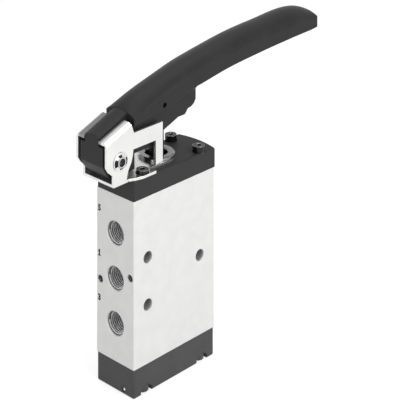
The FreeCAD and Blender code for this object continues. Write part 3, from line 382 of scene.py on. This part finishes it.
def addStroke(bm, stroke, thick):
    bar = bmesh.ops.create_cube(bm, size=1.0)["verts"]
    turn = Matrix.Rotation(math.radians(stroke["degrees"]), 3, "Z")
    bmesh.ops.scale(bm, vec=(stroke["long"], stroke["high"], 2 * thick), verts=bar)
    bmesh.ops.rotate(bm, cent=(0.0, 0.0, 0.0), matrix=turn, verts=bar)
    bmesh.ops.translate(bm, vec=(stroke["across"], stroke["up"], 0.0), verts=bar)


# the port numbers, printed on the block above each port
def makePortMark(mark, side, level, use):
    curve = bpy.data.curves.new("markCurve" + mark, "FONT")
    curve.body = mark
    curve.size = use["height"] / use["figure"]
    curve.align_x = "CENTER"
    curve.align_y = "CENTER"
    curve.extrude = use["thick"]
    curve.offset = use["bold"]
    holder = bpy.data.objects.new("markCurve" + mark, curve)
    scene.collection.objects.link(holder)
    bpy.context.view_layer.update()
    flat = bpy.data.meshes.new_from_object(holder.evaluated_get(bpy.context.evaluated_depsgraph_get()))
    bm = bmesh.new()
    bm.from_mesh(flat)
    bpy.data.objects.remove(holder)
    bpy.data.curves.remove(curve)
    bpy.data.meshes.remove(flat)
    bmesh.ops.remove_doubles(bm, verts=bm.verts, dist=use["weld"])
    if mark == "1":
        for stroke in use["strokes"].values():
            addStroke(bm, stroke, use["thick"])
    # the text's own X runs across the face, its Y upwards
    turn = Matrix(((0.0, 0.0, side), (side, 0.0, 0.0), (0.0, 1.0, 0.0))).to_4x4()
    turn.translation = (side * blockHalf["x"], use["side"], level + use["rise"])
    bmesh.ops.scale(bm, vec=(use["widen"], 1.0, 1.0), verts=bm.verts)
    bmesh.ops.transform(bm, matrix=turn, verts=bm.verts)
    addPiece("portMark" + mark, bm, "printedBlack", "valve_body")


for mark, level in portLevels.items():
    makePortMark(mark, portSide(mark), level, markSet)
print("port numbers made:", len(portLevels))

# dome: radius and depth of the plug's front, as shares of radius and bulge
plugSet = dict(place=(-0.03185, -0.0067, 0.0026), radius=0.0010, sunk=0.0004, bulge=0.00045, length=0.003,
               dome=((0.0, 0.0), (0.35, 0.06), (0.7, 0.3), (0.9, 0.62), (1.0, 1.0)), steps=28)


# porous breather plug in the bottom cover
def makeBreatherPlug(use):
    bm = bmesh.new()
    x, y, z = use["place"]
    profile = [(share * use["radius"], use["sunk"] + use["bulge"] * fall) for share, fall in use["dome"]]
    back = use["sunk"] + use["length"]
    profile += [(use["radius"], back), (0.0, back)]
    points = [(x + depth, y + radius, z) for radius, depth in profile]
    fullSpin(bm, profileOn(bm, points), (x, y, z), (1.0, 0.0, 0.0), use["steps"])
    bmesh.ops.remove_doubles(bm, verts=bm.verts, dist=mergeGap)
    addPiece("breatherPlug", bm, "sinteredPlug", "valve_body", smooth=60.0)


makeBreatherPlug(plugSet)
print("breather plug made")

# rings and heights: the dished sheet's radii and how far each stands off the ear's face; the third radius
# grows and shrinks by lobe; openings: middle and half width in degrees
retainerSet = dict(
    face=0.0124, rings=(0.00302, 0.0033, 0.00445, 0.0052), heights=(0.00085, 0.0007, 0.0004, 0.0002),
    lobe=0.0004, thick=0.0002, steps=96, openings=((0.0, 26.0), (100.0, 20.0), (180.0, 30.0), (277.0, 22.0)),
    shade=(0.00302, 0.0050), shadeThick=0.00015, shadeSteps=48)


# push-on retainer: a stamped, dished ring with four openings between the teeth that grip the pin
def makeRetainer(nameEnd, side, use):
    centre = Vector((pivot["x"], 0.0, pivot["z"]))
    axis = (0.0, 1.0, 0.0)

    def profile(bm, pairs, closed=False):
        points = [(centre.x + radius, side * (use["face"] + height), centre.z) for radius, height in pairs]
        return profileOn(bm, points, closed)

    # distance from the pin's axis and turn round it
    def polar(point):
        arm = point - centre
        return math.hypot(arm.x, arm.z), math.atan2(arm.z, arm.x)

    def opened(face):
        reach, turn = polar(face.calc_center_median())
        off = [abs((math.degrees(turn) - middle + 180.0) % 360.0 - 180.0) for middle, half in use["openings"]]
        inside = any(angle < half for angle, (middle, half) in zip(off, use["openings"]))
        return inside and reach < use["rings"][2]

    bm = bmesh.new()
    fullSpin(bm, profile(bm, zip(use["rings"], use["heights"])), centre, axis, use["steps"])
    bmesh.ops.delete(bm, geom=[face for face in bm.faces if opened(face)], context="FACES")
    for vert in bm.verts:
        reach, turn = polar(vert.co)
        if abs(reach - use["rings"][2]) < use["lobe"] / 2:
            wider = 1.0 + use["lobe"] * math.cos(2.0 * turn) / reach
            vert.co.x = centre.x + (vert.co.x - centre.x) * wider
            vert.co.z = centre.z + (vert.co.z - centre.z) * wider
    thicken(bm, bm.faces[:], (0.0, side * use["thick"], 0.0))
    ring = addPiece("pinRetainer" + nameEnd, bm, "zincSheet", "valve_body", smooth=40.0)
    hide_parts("pin_clip_" + nameEnd.lower())
    # a dark disc behind the openings: painted shade in the gaps between the teeth
    bm = bmesh.new()
    inner, outer = use["shade"]
    thick = use["shadeThick"]
    section = ((inner, 0.0), (outer, 0.0), (outer, thick), (inner, thick))
    fullSpin(bm, profile(bm, section, closed=True), centre, axis, use["shadeSteps"])
    addPiece("retainerShadeDisc" + nameEnd, bm, "blackScrew", "valve_body")


for nameEnd, side in (("Near", -1.0), ("Far", 1.0)):
    makeRetainer(nameEnd, side, retainerSet)
print("pin retainers made")

webSet = dict(
    halfY=0.009, bevel=0.0005,
    outline=((-0.0258, 0.1365), (-0.009, 0.1365), (-0.009, 0.1326), (-0.0105, 0.1313), (-0.0245, 0.1313),
             (-0.0258, 0.1323)))


# the lever's web between its hub and the push rod, seen through the ear's window
def makeLeverWeb(use):
    bm = bmesh.new()
    face = bm.faces.new([bm.verts.new((x, -use["halfY"], z)) for x, z in use["outline"]])
    thicken(bm, [face], (0.0, 2 * use["halfY"], 0.0))
    bmesh.ops.bevel(bm, geom=bm.edges[:], offset=use["bevel"], segments=2, profile=0.5, affect="EDGES",
                    material=-1)
    addPiece("leverWeb", bm, "leverPlastic", "lever")


makeLeverWeb(webSet)
print("lever web made")


# the return spring, rebuilt from its CAD node with its doubled corners merged
def makeReturnSpring():
    bm = bmesh.new()
    bm.from_mesh(nodes["return_spring"].data)
    bmesh.ops.remove_doubles(bm, verts=bm.verts, dist=mergeGap)
    coil = addPiece("returnSpring", bm, "turnedSteel", "valve_body")
    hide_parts("return_spring")
    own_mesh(coil)


makeReturnSpring()
print("return spring made")

# yaw in radians; drop: fall of the view per unit ahead; focalPixels and frame: in the photograph's pixels
cameraSet = dict(yaw=-0.80744, place=(-0.59909, -0.60765, 0.47262), drop=0.44312, focalPixels=1500.0,
                 frame=400.0, sensor=36.0, clipStart=0.05, clipEnd=20.0)


# columns of the camera's turn are its right, up and back
def standing(right, up, back, place):
    matrix = Matrix((right, up, back)).transposed().to_4x4()
    matrix.translation = Vector(place)
    return matrix


def makeCamera(use):
    ahead = Vector((-math.sin(use["yaw"]), math.cos(use["yaw"]), 0.0))
    right = Vector((ahead.y, -ahead.x, 0.0))
    look = ahead - Vector((0.0, 0.0, use["drop"]))
    data = bpy.data.cameras.new("photoCamera")
    data.sensor_width = use["sensor"]
    data.lens = use["focalPixels"] * look.length / use["frame"] * use["sensor"]
    data.clip_start = use["clipStart"]
    data.clip_end = use["clipEnd"]
    camera = bpy.data.objects.new("photoCamera", data)
    scene.collection.objects.link(camera)
    # the photograph keeps upright lines parallel: the picture plane stands upright, the view looks down
    back = -look.normalized()
    plain = standing(right, back.cross(right), back, use["place"])
    upright = standing(right, Vector((0.0, 0.0, 1.0)), back, use["place"])
    camera.matrix_basis = plain
    stand = bpy.data.objects.new("cameraStand", None)
    scene.collection.objects.link(stand)
    camera.parent = stand
    camera.matrix_parent_inverse = upright @ plain.inverted()
    scene.camera = camera


makeCamera(cameraSet)
print("camera placed")

floorSet = dict(size=6.0, drop=0.0001, colour=(0.42, 0.42, 0.42), glow=0.68)


# pale for the camera and in reflections, grey as a surface that takes the valve's shadow
def makeFloor(use):
    bm = bmesh.new()
    bmesh.ops.create_grid(bm, x_segments=1, y_segments=1, size=use["size"])
    bmesh.ops.translate(bm, vec=(0.0, 0.0, -use["drop"]), verts=bm.verts)
    mesh = bpy.data.meshes.new("floor")
    bm.to_mesh(mesh)
    bm.free()
    floor = bpy.data.objects.new("floor", mesh)
    scene.collection.objects.link(floor)
    material = bpy.data.materials.new("paleFloor")
    material.use_nodes = True
    tree = material.node_tree
    tree.nodes.remove(tree.nodes["Principled BSDF"])
    matt = nodeOn(tree, "BsdfDiffuse", Color=(*use["colour"], 1.0))
    path = nodeOn(tree, "LightPath").outputs
    seen = nodeMath(tree, "MAXIMUM", path["Is Camera Ray"], path["Is Glossy Ray"])
    glow = nodeOn(tree, "Emission", Strength=nodeMath(tree, "MULTIPLY", seen, use["glow"]))
    both = nodeOn(tree, "AddShader")
    for socket, part in zip(both.inputs, (matt, glow)):
        feedSocket(tree, socket, part.outputs[0])
    feedSocket(tree, tree.nodes["Material Output"].inputs["Surface"], both.outputs[0])
    mesh.materials.append(material)


makeFloor(floorSet)
print("floor laid")

# seen: for the camera and at the horizon of reflections; light: on matt surfaces; ceiling: overhead in
# reflections, from the height low to the height high
worldSet = dict(seen=1.0, light=0.5, ceiling=0.75, low=0.1, high=0.8)


def makeWorld(use):
    world = bpy.data.worlds.new("studio")
    scene.world = world
    world.use_nodes = True
    tree = world.node_tree
    path = nodeOn(tree, "LightPath").outputs
    height = axesOf(tree, nodeOn(tree, "TexCoord").outputs["Generated"])["Z"]
    ceiling = rangeOn(tree, height, use["low"], use["high"], use["seen"], use["ceiling"])
    mirrored = nodeOn(tree, "Mix", Factor=path["Is Glossy Ray"], A=use["light"], B=ceiling)
    clear = nodeMath(tree, "MAXIMUM", path["Is Camera Ray"], path["Is Transmission Ray"])
    level = nodeOn(tree, "Mix", Factor=clear, A=mirrored.outputs["Result"], B=use["seen"])
    background = tree.nodes["Background"]
    background.inputs["Color"].default_value = (1.0, 1.0, 1.0, 1.0)
    feedSocket(tree, background.inputs["Strength"], level.outputs["Result"])


makeWorld(worldSet)
print("world made")

# place, aim, size and power of each soft lamp
lamps = {
    "keyLamp": dict(place=(0.05, -1.05, 0.6), aim=(0.0, 0.0, 0.07), size=0.8, power=10.8),
    "topLamp": dict(place=(0.1, 0.1, 1.1), aim=(0.0, 0.0, 0.1), size=0.8, power=3.0),
    "leftLamp": dict(place=(-1.0, -0.1, 0.45), aim=(0.0, 0.0, 0.08), size=0.7, power=4.0),
}


def makeLamp(name, use):
    data = bpy.data.lights.new(name, "AREA")
    data.shape = "SQUARE"
    data.size = use["size"]
    data.energy = use["power"]
    lamp = bpy.data.objects.new(name, data)
    lamp.location = use["place"]
    aim = Vector(use["aim"]) - Vector(use["place"])
    lamp.rotation_euler = aim.to_track_quat("-Z", "Y").to_euler()
    scene.collection.objects.link(lamp)


for name, use in lamps.items():
    makeLamp(name, use)
scene.view_settings.view_transform = "Standard"
print("lamps placed:", len(lamps))
